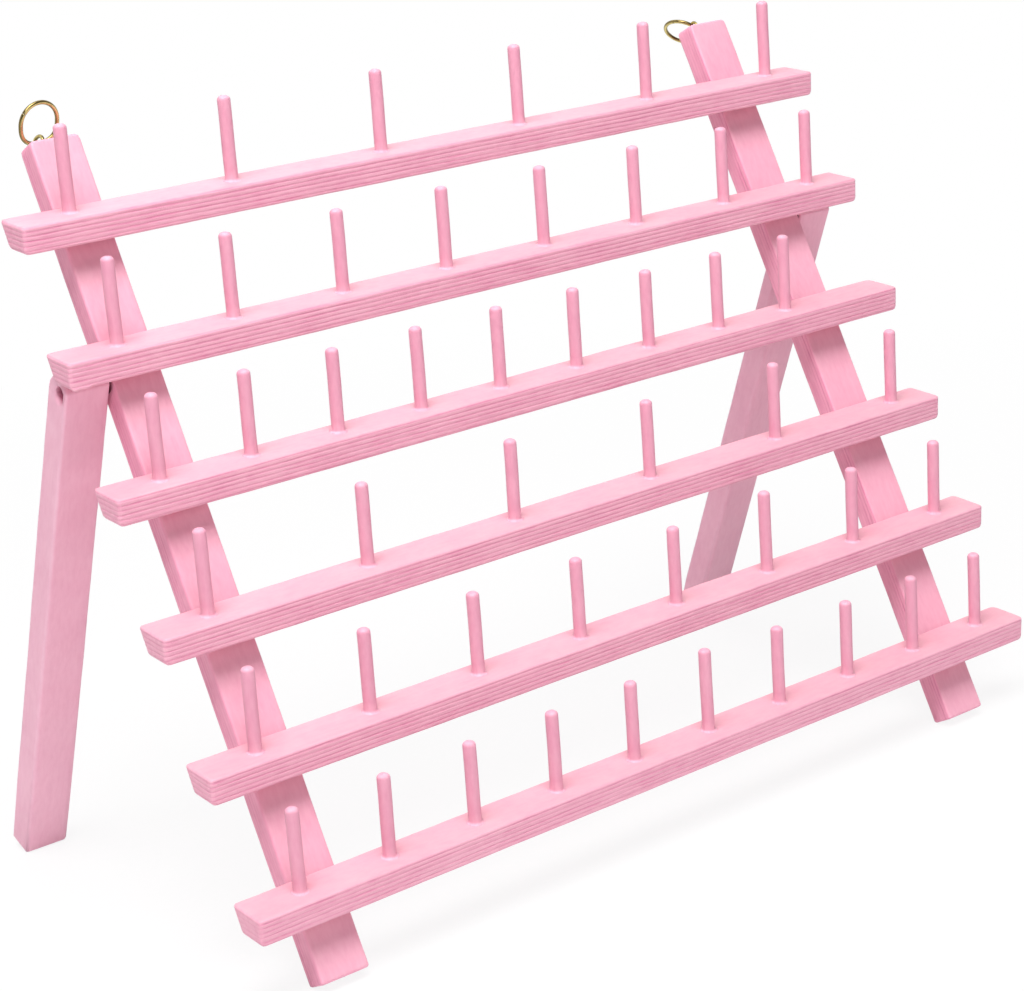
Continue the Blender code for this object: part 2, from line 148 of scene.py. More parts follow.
def make_piece(name, points, quads, strip, edges, plies, material):
    """One mesh object with the strip coordinates and the masks called edges and plies, which also place painted light
    and shade.
    """
    mesh = bpy.data.meshes.new(name)
    mesh.vertices.add(len(points))
    mesh.vertices.foreach_set("co", np.asarray(points, np.float32).ravel())
    mesh.loops.add(quads.size)
    mesh.loops.foreach_set("vertex_index", np.asarray(quads, np.int32).ravel())
    mesh.polygons.add(len(quads))
    mesh.polygons.foreach_set("loop_start", np.arange(0, quads.size, quads.shape[1], dtype=np.int32))
    mesh.attributes.new("strip", "FLOAT_VECTOR", "POINT").data.foreach_set(
        "vector", np.asarray(strip, np.float32).ravel())
    for label, mask in (("edges", edges), ("plies", plies)):
        mesh.attributes.new(label, "FLOAT", "POINT").data.foreach_set("value", np.asarray(mask, np.float32))
    mesh.update()
    mesh.validate()
    mesh.shade_smooth()
    mesh.materials.append(material)
    piece = bpy.data.objects.new(name, mesh)
    bpy.context.scene.collection.objects.link(piece)
    return piece


def feed(node, inputs):
    """Sets a node's inputs: a pair of node and output is linked, and anything else is a plain value."""
    for key, value in inputs.items():
        if isinstance(value, tuple) and len(value) == 2 and hasattr(value[0], "outputs"):
            node.id_data.links.new(value[0].outputs[value[1]], node.inputs[key])
        else:
            node.inputs[key].default_value = value
    return node


def node_maker(tree):
    """Four ways to place a node in a tree: any kind with its inputs and settings, a noise, a range of values carried
    to another range, and one step of arithmetic."""
    def put(kind, inputs, **settings):
        node = tree.nodes.new("ShaderNode" + kind)
        for key, value in settings.items():
            setattr(node, key, value)
        return feed(node, inputs)

    def noise(place, scale, detail, roughness=0.5, distortion=0.0):
        return put("TexNoise", {"Vector": place, "Scale": scale, "Detail": detail, "Roughness": roughness,
                                "Distortion": distortion})

    def ranged(value, low, high, to_low, to_high, **settings):
        return put("MapRange", {0: value, 1: low, 2: high, 3: to_low, 4: to_high}, **settings)

    def combine(operation, *terms, **settings):
        return put("Math", dict(enumerate(terms)), operation=operation, **settings)

    return put, noise, ranged, combine


def group_with(name, inputs, outputs):
    """An empty node group with named sockets, given as (name, kind, default value)."""
    tree = bpy.data.node_groups.new(name, "ShaderNodeTree")
    for label, kind, start in inputs:
        socket = tree.interface.new_socket(label, in_out="INPUT", socket_type=kind)
        if start is not None:
            socket.default_value = start
    for label, kind in outputs:
        tree.interface.new_socket(label, in_out="OUTPUT", socket_type=kind)
    return tree, tree.nodes.new("NodeGroupInput"), tree.nodes.new("NodeGroupOutput")


# Ply edges under paint: narrow, slightly sunken dark lines along the board, which wander, break up and fade.
ply_group, g_in, g_out = group_with(
    "ply_edges",
    [("Strip", "NodeSocketVector", None), ("Plies", "NodeSocketFloat", 1.0), ("Pitch", "NodeSocketFloat", ply_pitch),
     ("First", "NodeSocketFloat", first_ply)],
    [("Groove", "NodeSocketFloat")])
put, noise, ranged, combine = node_maker(ply_group)
parts = put("SeparateXYZ", {0: (g_in, "Strip")})
stretched = put("Mapping", {"Vector": (g_in, "Strip"), "Scale": (34, 60, 430)})
wander = noise((stretched, 0), 1.0, 4.0, 0.6)
offset = combine("MULTIPLY_ADD", (wander, 0), 0.0015, (parts, 2))
offset = combine("SUBTRACT", (offset, 0), 0.00075)
offset = combine("SUBTRACT", (offset, 0), (g_in, "First"))
turns = combine("DIVIDE", (offset, 0), (g_in, "Pitch"))
turns = combine("MULTIPLY", (turns, 0), 2 * math.pi)
wave = combine("COSINE", (turns, 0))
wave = ranged((wave, 0), -0.1, 0.98, 0.0, 1.0, interpolation_type="SMOOTHSTEP")
breaks = noise((stretched, 0), 1.7, 5.0, 0.7)
breaks = ranged((breaks, 0), 0.32, 0.62, 0.18, 1.0)
groove = combine("MULTIPLY", (wave, 0), (breaks, 0))
fibres = put("Mapping", {"Vector": (g_in, "Strip"), "Scale": (60, 900, 1500)})
fibres = noise((fibres, 0), 1.0, 3.0, 0.6)
fibres = ranged((fibres, 0), 0.52, 0.78, 0.0, 0.45)
groove = combine("ADD", (groove, 0), (fibres, 0), use_clamp=True)
groove = combine("MULTIPLY", (groove, 0), (g_in, "Plies"))
feed(g_out, {"Groove": (groove, 0)})

# Satin paint over wood: a face colour and an edge colour, which the pieces set apart as painted light and shade,
# faint cloudiness and mottling, streaks that follow the grain, and the fine orange peel of sprayed paint.
paint_group, g_in, g_out = group_with(
    "satin_paint",
    [("Strip", "NodeSocketVector", None), ("Face Colour", "NodeSocketColor", (*painted_light_face, 1)),
     ("Edge Colour", "NodeSocketColor", (*painted_light_edge, 1)), ("Deep Colour", "NodeSocketColor", (*paint_deep, 1)),
     ("Edges", "NodeSocketFloat", 0.0), ("Groove", "NodeSocketFloat", 0.0), ("Grain", "NodeSocketFloat", 0.5)],
    [("Colour", "NodeSocketColor"), ("Roughness", "NodeSocketFloat"), ("Height", "NodeSocketFloat")])
put, noise, ranged, combine = node_maker(paint_group)
base = put("Mix", {0: (g_in, "Edges"), 6: (g_in, "Face Colour"), 7: (g_in, "Edge Colour")}, data_type="RGBA")
cloud = noise((g_in, "Strip"), 38.0, 3.0)
cloud = ranged((cloud, 0), 0.35, 0.7, 0.0, 0.16)
mottle_map = put("Mapping", {"Vector": (g_in, "Strip"), "Scale": (150, 420, 420)})
mottle = noise((mottle_map, 0), 1.0, 4.0, 0.65)
mottle = ranged((mottle, 0), 0.40, 0.72, 0.0, 0.20)
cloud = combine("ADD", (cloud, 0), (mottle, 0))
grain_map = put("Mapping", {"Vector": (g_in, "Strip"), "Scale": (24, 620, 620)})
streaks = noise((grain_map, 0), 1.0, 5.0, 0.62, distortion=0.4)
streaks_mask = ranged((streaks, 0), 0.44, 0.74, 0.0, 0.42)
streaks_mask = combine("MULTIPLY", (streaks_mask, 0), (g_in, "Grain"))
open_grain = combine("MULTIPLY_ADD", (g_in, "Edges"), 0.7, 0.3)
streaks_mask = combine("MULTIPLY", (streaks_mask, 0), (open_grain, 0))
tint = combine("MULTIPLY_ADD", (g_in, "Groove"), 0.50, (streaks_mask, 0))
tint = combine("ADD", (tint, 0), (cloud, 0), use_clamp=True)
mixed = put("Mix", {0: (tint, 0), 6: (base, 2), 7: (g_in, "Deep Colour")}, data_type="RGBA")
peel = noise((g_in, "Strip"), 900.0, 2.0)
satin = noise((g_in, "Strip"), 160.0, 3.0, 0.6)
rough = ranged((satin, 0), 0.3, 0.7, 0.44, 0.58)
rough = combine("MULTIPLY_ADD", (g_in, "Groove"), 0.16, (rough, 0))
height = combine("MULTIPLY", (streaks, 0), (g_in, "Grain"))
height = combine("MULTIPLY", (height, 0), (open_grain, 0))
height = combine("MULTIPLY_ADD", (peel, 0), 0.22, (height, 0))
height = combine("MULTIPLY_ADD", (g_in, "Groove"), -0.8, (height, 0))
feed(g_out, {"Colour": (mixed, 2), "Roughness": (rough, 0), "Height": (height, 0)})


def new_material(name):
    """A material that uses nodes, and its shader."""
    made = bpy.data.materials.new(name)
    made.use_nodes = True
    return made, made.node_tree.nodes["Principled BSDF"]


def painted(name, face, edge, deep, grain, plies=False, hole_shade=None):
    """Satin paint on wood. With plies, the board's ply edges show through it where the mask called plies asks for
    them. Without them, a dark colour may take that mask instead: painted shade down a drilled hole."""
    made, shader = new_material(name)
    put = node_maker(made.node_tree)[0]
    strip, edges, mask = [put("Attribute", {}, attribute_name=label) for label in ("strip", "edges", "plies")]
    paint = put("Group", {
        "Strip": (strip, "Vector"), "Edges": (edges, "Fac"), "Grain": grain, "Face Colour": (*face, 1),
        "Edge Colour": (*edge, 1), "Deep Colour": (*deep, 1)}, node_tree=paint_group)
    if plies:
        lines = put("Group", {"Strip": (strip, "Vector"), "Plies": (mask, "Fac")}, node_tree=ply_group)
        feed(paint, {"Groove": (lines, "Groove")})
    colour = (paint, "Colour")
    # Painted shade: a dark colour mixed in where the plies mask asks, down a drilled hole.
    if hole_shade:
        colour = (put("Mix", {0: (mask, "Fac"), 6: colour, 7: (*hole_shade, 1)}, data_type="RGBA"), 2)
    bump = put("Bump", {"Strength": 0.30, "Distance": 0.0004, "Height": (paint, "Height")})
    feed(shader, {"Base Color": colour, "Roughness": (paint, "Roughness"), "Normal": (bump, 0)})
    return made


ply_paint = painted("pink_paint_on_plywood", painted_light_face, painted_light_edge, paint_deep, 0.55, plies=True)

for seed, (name, middle) in enumerate(stile_middles.items()):
    halves = ((stile_top - stile_foot) / 2, stile_width / 2, stile_thickness / 2)
    inner, outward, quads = sanded_block(halves, sanded, stile_steps)
    strip = inner + outward * sanded
    # Painted shade: the sides and ends take the deeper edge colour, and the ply grooves show there.
    edges = 1 - outward[:, 2] ** 2
    in_front, behind = ply_strength[name]
    plies = edges * (behind + (in_front - behind) * np.clip(-strip[:, 2] / ply_change, 0, 1))
    sunk = stile_groove_depth * plies * ply_grooves(strip[:, 0], strip[:, 2] + halves[2], seed + 2)
    strip = strip - outward * (sunk + hand_waves(strip, seed) + paint_allowance)[:, None]
    corner = np.where(strip[:, 0] > 0, stile_top_corner, stile_foot_corner)
    strip[:, 0], strip[:, 1] = eased_corners(strip[:, 0], strip[:, 1], halves[0], halves[1], corner, sanded)
    origin = lowest_seat + (middle, 0, 0) + stile_up * (stile_top + stile_foot) / 2
    origin = origin + stile_back * (stile_gap + stile_thickness / 2)
    points = place_strip(strip, origin, stile_up, np.array((1, 0, 0)), stile_back)
    coordinates = strip + (1.3 * seed, 0, halves[2])  # each piece has its own stretch of the paint's pattern
    piece = make_piece(name + "_board", points, quads, coordinates, edges, plies, ply_paint)
    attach(piece, "frame")
    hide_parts(name)

# ------------------------
# Legs. Two solid wood legs, square in the foot, with a slanting flat and a rounded corner at the top.
# A counterbored hole takes the pivot screw. The edges are sanded round and the paint is the same pink, set lighter
# as painted light against the shade under the bars, lighter still along the rounded edges as a painted highlight, and
# darker down the counterbore as painted shade.
# ------------------------
leg_lean = math.radians(21.6)
leg_up = np.array((0, -math.sin(leg_lean), math.cos(leg_lean)))
leg_back = np.array((0, math.cos(leg_lean), math.sin(leg_lean)))
pivot = np.array((0, 0.010949, 0.237537))
leg_width, leg_rounding = 0.0214, 0.0016
leg_front, leg_rear = -0.0049, 0.0095  # the leg's faces from the pivot
leg_foot, leg_top = -0.253912, 0.0079
leg_room = 0.0010  # between leg and stile, for the washer
leg_sides = {"left_leg": -1, "right_leg": 1}
stop_angle, to_stop = stile_lean + leg_lean, 0.0053  # the flat's slant to the leg, and its distance from the pivot
slant_top = (leg_top * math.sin(stop_angle) - to_stop) / math.cos(stop_angle)
bore_radius, counterbore_radius, counterbore_land = 0.0022, 0.0035, 0.0080
lip_width, lip_wear = 0.0006, 0.0015  # of the counterbore's eased edge, and what wear adds on its lower side
lip_depth = 1.3  # as a share of its width
wall_start = 0.0032  # from the outer face down to the counterbore's plain wall
# Painted shade down the counterbore: it sets in a little below the outer face and deepens with depth.
hole_shade_start, hole_shade_fade = 0.0006, 0.0016  # from the outer face: where the hole begins to darken, and how fast
still_radius, still_fade = 0.005, 0.010  # round the pivot: where the hand's waves set in, and how fast


def corner_planes(middle, radius, first, last, count):
    """Half planes that touch a round corner: each faces one way, and reaches as far as the corner's middle lies that
    way plus the radius."""
    turn = np.radians(np.linspace(first, last, count))
    facing = np.stack((np.cos(turn), np.sin(turn)), 1)
    return facing, facing @ np.array(middle) + radius


def leg_reach(directions, facing, reach, drawn_in):
    """How far the wood reaches from the pivot in each direction: to the nearest of the half planes, all drawn in by
    the same distance. A half plane is met at its reach divided by the cosine of the angle to it."""
    toward = directions @ facing.T
    with np.errstate(divide="ignore"):
        met = np.where(toward > 1e-6, (reach - drawn_in)[None, :] / np.maximum(toward, 1e-6), np.inf)
    return met.min(1)


corner = leg_rear - slant_top
flat_way = np.array((-math.cos(stop_angle), math.sin(stop_angle)))  # the slanting flat faces up and forward
flat_turn = math.degrees(math.atan2(flat_way[1], flat_way[0]))
low_front = (leg_front + leg_rounding, leg_foot + leg_rounding)
low_back = (leg_rear - leg_rounding, leg_foot + leg_rounding)
front_top = (to_stop - leg_rounding - flat_way[0] * (leg_front + leg_rounding)) / flat_way[1]
leg_planes = [
    corner_planes((slant_top, leg_top - corner), corner, 0, 90, 10),
    (flat_way[None, :], np.array([to_stop])),
    corner_planes((leg_front + leg_rounding, front_top), leg_rounding, flat_turn, 180, 4),
    corner_planes(low_front, leg_rounding, 180, 270, 6),
    corner_planes(low_back, leg_rounding, 270, 360, 6)]
leg_facing = np.concatenate([a for a, b in leg_planes])
leg_reaches = np.concatenate([b for a, b in leg_planes])

# The directions from the pivot: every 6 degrees, to even places down both long edges, and to places across the foot.
down_edges = np.linspace(leg_foot + leg_rounding, 0, 52)
across_foot = np.linspace(leg_front, leg_rear, 12)
least_turn = 0.0008
leg_turns = np.concatenate((
    np.radians(np.arange(0, 360, 6)), np.arctan2(down_edges, leg_front), np.arctan2(down_edges, leg_rear),
    np.arctan2(leg_foot, across_foot)))
leg_turns = np.unique(np.round(np.mod(leg_turns, 2 * math.pi), 6))
leg_turns = leg_turns[np.append(np.diff(leg_turns) > least_turn, True)]


def ring_quads(low, high):
    """Quads between rings of points, each ring a row of numbers: a point, the next in its ring, and the two above."""
    return np.stack((low, np.roll(low, -1, 1), np.roll(high, -1, 1), high), -1).reshape(-1, 4)


def leg_grid(side):
    """A leg as one closed skin over two parameters: the direction seen along the pivot, and the way round the section.

    The way runs out over the inner face, round its edge, across the width, round the outer edge, in over the outer
    face to the counterbore, down its wall, in over its floor and back through the bore. Over a face, the reach is a
    share of the way from the hole's edge to the wood's. Round an edge, the wood is drawn in by the rounding times
    one less the sine of the turn, and the face lies back by the rounding times one less its cosine.
    """
    way = np.stack((np.cos(leg_turns), np.sin(leg_turns)), 1)
    half = leg_width / 2
    rows = []

    def outer(drawn_in, x):
        rows.append((leg_reach(way, leg_facing, leg_reaches, drawn_in), np.full(len(way), x)))

    def round_hole(radius, x):
        rows.append((np.full(len(way), radius), np.full(len(way), x)))

    face_reach = leg_reach(way, leg_facing, leg_reaches, leg_rounding)
    round_hole(bore_radius, -half)
    for share in (0.3, 0.6, 0.85):
        rows.append((bore_radius + (face_reach - bore_radius) * share, np.full(len(way), -half)))
    for angle in np.radians((0, 22.5, 45, 67.5, 90)):
        outer(leg_rounding * (1 - math.sin(angle)), -half + leg_rounding * (1 - math.cos(angle)))
    for x in np.linspace(-half + leg_rounding, half - leg_rounding, 12)[1:-1]:
        outer(0, x)
    for angle in np.radians((90, 67.5, 45, 22.5, 0)):
        outer(leg_rounding * (1 - math.sin(angle)), half - leg_rounding * (1 - math.cos(angle)))
    lip = lip_width + lip_wear * np.clip(-way[:, 1], 0, 1) ** 2
    for share in (0.85, 0.6, 0.3, 0.1):
        rows.append((counterbore_radius + lip + (face_reach - counterbore_radius - lip) * share,
                     np.full(len(way), half)))
    for angle in np.radians((0, 15, 30, 45, 60, 75, 90)):
        rows.append((counterbore_radius + lip * (1 - math.sin(angle)), half - lip_depth * lip * (1 - math.cos(angle))))
    floor = -half + counterbore_land
    for x in np.linspace(half - wall_start, floor, 6):
        round_hole(counterbore_radius, x)
    round_hole(bore_radius, floor)
    reach = np.array([r for r, x in rows])
    width = np.array([x for r, x in rows])
    strip = np.stack((reach * way[:, 1], width * side, reach * way[:, 0]), -1)
    index = np.arange(reach.size).reshape(reach.shape)
    quads = ring_quads(index, np.roll(index, -1, 0))
    round_counterbore = counterbore_radius + 0.002
    face_skin = 0.0001
    # Where the edge colour goes: the rounded long edges, as a painted highlight, where the grain's streaks are also
    # stronger.
    edge_highlight_and_grain = np.clip((np.abs(width) - half + leg_rounding) / leg_rounding, 0, 1) * (reach > round_counterbore)
    edge_highlight_and_grain = edge_highlight_and_grain * (1 - np.clip((np.abs(width) - half + face_skin) / face_skin, 0, 1))
    # Painted shade down the counterbore's wall and floor, deepening below its rim.
    hole_shade_mask = np.clip((half - width - hole_shade_start) / hole_shade_fade, 0, 1) * (reach < round_counterbore)
    hole_shade_mask = hole_shade_mask * (np.arange(len(rows)) > len(rows) / 2)[:, None]  # the first rows are the inner face
    return strip.reshape(-1, 3), quads if side > 0 else quads[:, ::-1], edge_highlight_and_grain.ravel(), hole_shade_mask.ravel()


# Leg paint: a lighter pink than the boards' as painted light, an edge colour lighter still as a painted highlight on
# the rounded edges, and a dark last colour as painted shade down the counterbore.
leg_paint = painted("pink_paint_on_solid_wood", (0.93, 0.520, 0.640), (0.93, 0.565, 0.680), (0.72, 0.26, 0.41), 0.5,
                    hole_shade=(0.62, 0.170, 0.280))

for seed, (name, side) in enumerate(leg_sides.items()):
    middle = stile_middles[name.replace("leg", "stile")] + side * (stile_width / 2 + leg_room + leg_width / 2)
    strip, quads, edges, hole_shade = leg_grid(side)
    past_joint = np.clip((np.hypot(strip[:, 0], strip[:, 2]) - still_radius) / still_fade, 0, 1)
    uneven = hand_waves(strip, seed + 4) * past_joint
    strip = strip - np.stack((0 * uneven, uneven * np.sign(strip[:, 1]), uneven * np.sign(strip[:, 2])), 1)
    points = place_strip(strip, pivot + (middle, 0, 0), leg_up, np.array((1, 0, 0)), leg_back)
    # The leg's plies mask carries its painted shade down the counterbore.
    piece = make_piece(name + "_post", points, quads, strip + (0.7 * seed, 0, 0), edges, hole_shade, leg_paint)
    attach(piece, name)
    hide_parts(name)

# ------------------------
# Bars. Six strips of the same plywood, glued across the stiles, with their backs planed to the lean.
# Their fronts and ends show the ply edges as fine lines under the paint.
# ------------------------
bar_length, bar_depth, bar_thickness = 0.450, 0.0205, 0.0120
bar_left_extras = (0.0013, 0.0018, 0.0010, 0.0018, 0.0026, 0.0026)  # how far each end runs on past that length
bar_right_extras = (-0.0018, 0.0010, 0.0005, 0.0012, 0.0026, 0.0010)
bar_pitch = 0.059
bar_tilt = math.radians(3.56)
bar_back = np.array((0, math.cos(bar_tilt), math.sin(bar_tilt)))
bar_up = np.array((0, -math.sin(bar_tilt), math.cos(bar_tilt)))
bar_rounding = 0.0012
back_slope = math.tan(stile_lean + bar_tilt)
bar_steps = (300, 14, 44)
bar_groove_depth = 0.00012
end_fade = 0.0020  # the last stretch, over which the grooves weaken
end_losses = (0.35, 0.35, 0.35, 0.35, 0.35, 0.65)  # how much of them is lost at each bar's ends
front_corner, top_corner, under_corner = 0.0022, 0.0014, 0.0024  # radii of the ends' corners
back_left_corners, back_right_corners = (0.0014, 0.0022), (0.0030, 0.0040)  # least and most, as sanded by hand
square_rows = 2  # the top rows, whose back right corners are like the front ones
lump_height, lump_length, lump_rise, lump_depth = 0.0014, 0.0011, 0.0012, 0.0016
lumps_from_end = ((0.0022, 1.0), (0.0052, 0.7), (0.0080, 0.9))  # each one's place and share of the height
lump_way = np.array((0, -0.5, -0.85))  # out from the lower front edge


def bar_seat(row):
    """The middle of a bar's upper back edge. Rows count from the top, and the rows step along the stiles."""
    return lowest_seat + stile_up * (6 - row) * bar_pitch


def paint_lumps(strip, halves):
    """Paint that ran and set along one bar's lower front edge, beside its left end: the sum of three bells along the
    edge, times one bell over the height from it and the depth behind it. A bell is e to the power of minus the
    square of a distance over its width."""
    from_end, from_front, from_under = (strip + halves).T
    low = np.exp(-(from_under / lump_rise) ** 2 - (from_front / lump_depth) ** 2)
    lumps = sum(size * np.exp(-((from_end - at) / lump_length) ** 2) for at, size in lumps_from_end)
    return (lump_height * low * lumps)[:, None] * lump_way


# The bars' tops and undersides take the face colour, and their fronts, backs and ends the edge colour: one paint in two
# tones as painted light, the face colour darker to offset the strong light on the tops.
bar_paint = painted("pink_paint_on_bars", (0.80, 0.422, 0.485), (0.87, 0.455, 0.560), (0.70, 0.20, 0.35), 0.55,
                    plies=True)
ply_starts = (0.0004, 0.0004, 0.0010, 0.0017, 0.0017, 0.0017)  # each bar's first groove, from its top face
rng = np.random.default_rng(5)

for row in range(1, 7):
    more_left, more_right = bar_left_extras[row - 1], bar_right_extras[row - 1]
    halves = ((bar_length + more_left + more_right) / 2, bar_depth / 2, bar_thickness / 2)
    inner, outward, quads = sanded_block(halves, bar_rounding, bar_steps)
    strip = inner + outward * bar_rounding
    # Painted light: the tops and undersides take the face colour, the rest the edge colour, and the ply grooves show
    # there.
    edges = 1 - outward[:, 2] ** 2
    depth_in = halves[2] - strip[:, 2] + first_ply - ply_starts[row - 1]
    at_ends = np.clip((np.abs(strip[:, 0]) - halves[0] + end_fade) / end_fade, 0, 1)
    plies = edges * (1 - end_losses[row - 1] * at_ends)
    sunk = bar_groove_depth * plies * ply_grooves(strip[:, 0], depth_in, 1.3 * row)
    strip = strip - outward * (sunk + hand_waves(strip, 2.3 * row) + paint_allowance)[:, None]
    left = rng.uniform(*back_left_corners)
    right = rng.uniform(*back_right_corners) if row > square_rows else front_corner
    corner = np.where(strip[:, 1] > 0, np.where(strip[:, 0] > 0, right, left), front_corner)
    strip[:, 0], strip[:, 1] = eased_corners(strip[:, 0], strip[:, 1], halves[0], halves[1], corner, bar_rounding)
    corner = np.where(strip[:, 2] > 0, top_corner, under_corner)
    strip[:, 0], strip[:, 2] = eased_corners(strip[:, 0], strip[:, 2], halves[0], halves[2], corner, bar_rounding)
    if row == 2:
        strip = strip + paint_lumps(strip, halves)
    depth_here = 1 + back_slope * (strip[:, 2] - halves[2]) / bar_depth
    shaped = strip.copy()
    shaped[:, 1] = -bar_depth + (strip[:, 1] + halves[1]) * depth_here
    shaped[:, 2] = strip[:, 2] - halves[2]
    middle = bar_seat(row) + ((more_right - more_left) / 2, 0, 0)
    points = place_strip(shaped, middle, np.array((1, 0, 0)), bar_back, bar_up)
    coordinates = np.stack((strip[:, 0] + 0.7 * row, strip[:, 1], depth_in), 1)
    piece = make_piece(f"bar_{row}_board", points, quads, coordinates, edges, plies, bar_paint)
    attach(piece, "frame")
    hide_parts(f"bar_{row}")

# ------------------------
# Pegs. Forty-seven dowels of just under 6 mm with rounded tops, glued into the bars before the rack was painted.
# Paint has gathered in a small fillet round each foot. They stand a little unevenly, as set by hand.
# ------------------------
peg_radius, peg_stand, peg_sunk = 0.0029, 0.0375, 0.0015
peg_dome, peg_fillet = 0.0021, 0.0011
peg_sides, peg_tip = 22, 0.00002  # points round a peg, and the radius at its very top
peg_counts = (6, 8, 10, 6, 8, 10)  # by row, from the top, as are the next two
peg_end_spaces = (0.0259, 0.0259, 0.0245, 0.0245, 0.0240, 0.0236)  # from the outer pegs to a 450 mm bar's ends
peg_shifts = (0.0002, 0.0009, 0.0005, 0.0009, 0.0013, 0)  # of a whole row to the right
proud_pegs, missing_pegs = ("peg_5_6", "peg_6_6"), ("peg_3_10",)
proud_by, uneven_stand = 0.0022, (-0.0005, -0.0001)  # the proud ones' extra height, and the range of every peg's own
peg_lean, lean_back_spread, lean_right_spread = math.radians(0.3), 0.2, 0.25  # the spreads in degrees
level_height = 0.0040  # up to which a foot follows the slope of the bar's top
bow, bow_start, bow_waves = 0.00005, 0.0030, 210  # each peg's slight bow, the height where it sets in, and its waves
# The pegs' lighter edge colour is a painted highlight over the dome; it also lightens the foot fillet.
foot_mask, dome_highlight, dome_highlight_fade = 0.0035, 0.0016, 0.0008  # from the foot and the top: the reach of the edge colour
peg_paint = painted("pink_paint_on_dowel", (0.78, 0.365, 0.475), (0.86, 0.470, 0.570), (0.64, 0.175, 0.310), 0.75)


def peg_profile(stand):
    """Radius and height up a peg: a foot in the wood, a concave quarter turn of paint, the dowel, and a dome. Over the
    dome the radius follows the cosine to the power 0.8 and the height the sine to the power 0.9, for a flatter top."""
    turn = np.radians((0, 18, 36, 54, 72, 90))
    foot = np.stack((peg_radius + peg_fillet * (1 - np.sin(turn)), peg_fillet * (1 - np.cos(turn))), 1)
    body = np.stack((np.full(9, peg_radius), np.linspace(peg_fillet, stand - peg_dome, 10)[1:]), 1)
    turn = np.radians((15, 30, 45, 60, 75, 90))
    dome = np.stack((peg_radius * np.cos(turn) ** 0.8, stand - peg_dome + peg_dome * np.sin(turn) ** 0.9), 1)
    dome[-1, 0] = peg_tip
    start = np.array(((peg_radius + peg_fillet, -peg_sunk),))
    return np.concatenate((start, foot, body, dome))


def turned(profile, sides):
    """A profile of radius and height carried round the upright axis: a point lies at its radius times the cosine and
    the sine of the turn, and at its height."""
    turn = np.arange(sides) * 2 * np.pi / sides
    radius, height = profile.T
    points = np.stack((np.outer(radius, np.cos(turn)), np.outer(radius, np.sin(turn)),
                       np.repeat(height[:, None], sides, 1)), -1)
    index = np.arange(points.shape[0] * sides).reshape(points.shape[:2])
    return points.reshape(-1, 3), ring_quads(index[:-1], index[1:])


rng = np.random.default_rng(11)
for row, count in enumerate(peg_counts, 1):
    all_points, all_quads, all_strips, all_edges, names, start = [], [], [], [], [], 0
    for place in range(1, count + 1):
        name = f"peg_{row}_{place}"
        if name in missing_pegs:
            continue
        stand = peg_stand + (proud_by if name in proud_pegs else 0) + rng.uniform(*uneven_stand)
        points, quads = turned(peg_profile(stand), peg_sides)
        bowed = bow * np.sin(points[:, 2] * bow_waves + place) * np.clip(points[:, 2] / bow_start, 0, 1)
        strip = np.stack((points[:, 2] + 0.11 * place + 1.7 * row, points[:, 0], points[:, 1]), 1)
        lean_back = peg_lean + math.radians(rng.normal(0, lean_back_spread))
        lean_right = math.radians(rng.normal(0, lean_right_spread))
        reach = bar_length / 2 - peg_end_spaces[row - 1]
        middle = peg_shifts[row - 1] - reach + 2 * reach / (count - 1) * (place - 1)
        foot = bar_seat(row) + (middle, 0, 0) - bar_back * bar_depth / 2
        level = points[:, 1] * math.tan(bar_tilt) * np.clip(1 - points[:, 2] / level_height, 0, 1)
        moved = foot + np.stack((
            points[:, 0] + bowed + points[:, 2] * math.tan(lean_right),
            points[:, 1] + points[:, 2] * math.tan(lean_back),
            points[:, 2] + level), 1)
        all_points.append(moved)
        all_quads.append(quads + start)
        all_strips.append(strip)
        # Painted highlight over the dome, added to the lighter tone round the foot.
        dome_highlight_share = np.clip((points[:, 2] - points[:, 2].max() + dome_highlight) / dome_highlight_fade, 0, 1)
        all_edges.append(np.clip(1.15 - points[:, 2] / foot_mask, 0, 1) + 0.8 * dome_highlight_share)
        names.append(name)
        start += len(points)
    points, quads, strip, edges = map(np.concatenate, (all_points, all_quads, all_strips, all_edges))
    piece = make_piece(f"pegs_row_{row}", points, quads, strip, edges, 0 * edges, peg_paint)
    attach(piece, "frame")
    if row > 1:
        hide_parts(*names)

# ------------------------
# Pivot screws and washers. A cross-headed wood screw holds each leg to its stile, its head deep in the counterbore.
# A thin washer of the same finish lies between leg and stile: plated metal, darkened and tinted pink as painted shade.
# ------------------------
screw_head, screw_shank, screw_core = 0.0031, 0.0019, 0.00145
head_height, dome_drop, head_rim = 0.0022, 0.0011, 0.0001
slot_depth, slot_half, slot_reach, slot_end = 0.0011, 0.00035, 0.62, 0.12  # the last two as shares of the head's radius
plain_end, thread_start, thread_end, screw_point = -0.0095, -0.0098, -0.0222, -0.02225
thread_pitch, thread_taper = 0.0016, 0.0040
screw_sides, screw_tip = 64, 0.00002
screw_gap = 0.0003  # under the head, and between washer and stile
washer_bore, washer_radius, washer_half, washer_sides = 0.0022, 0.0045, 0.0002, 48  # the half is of its thickness


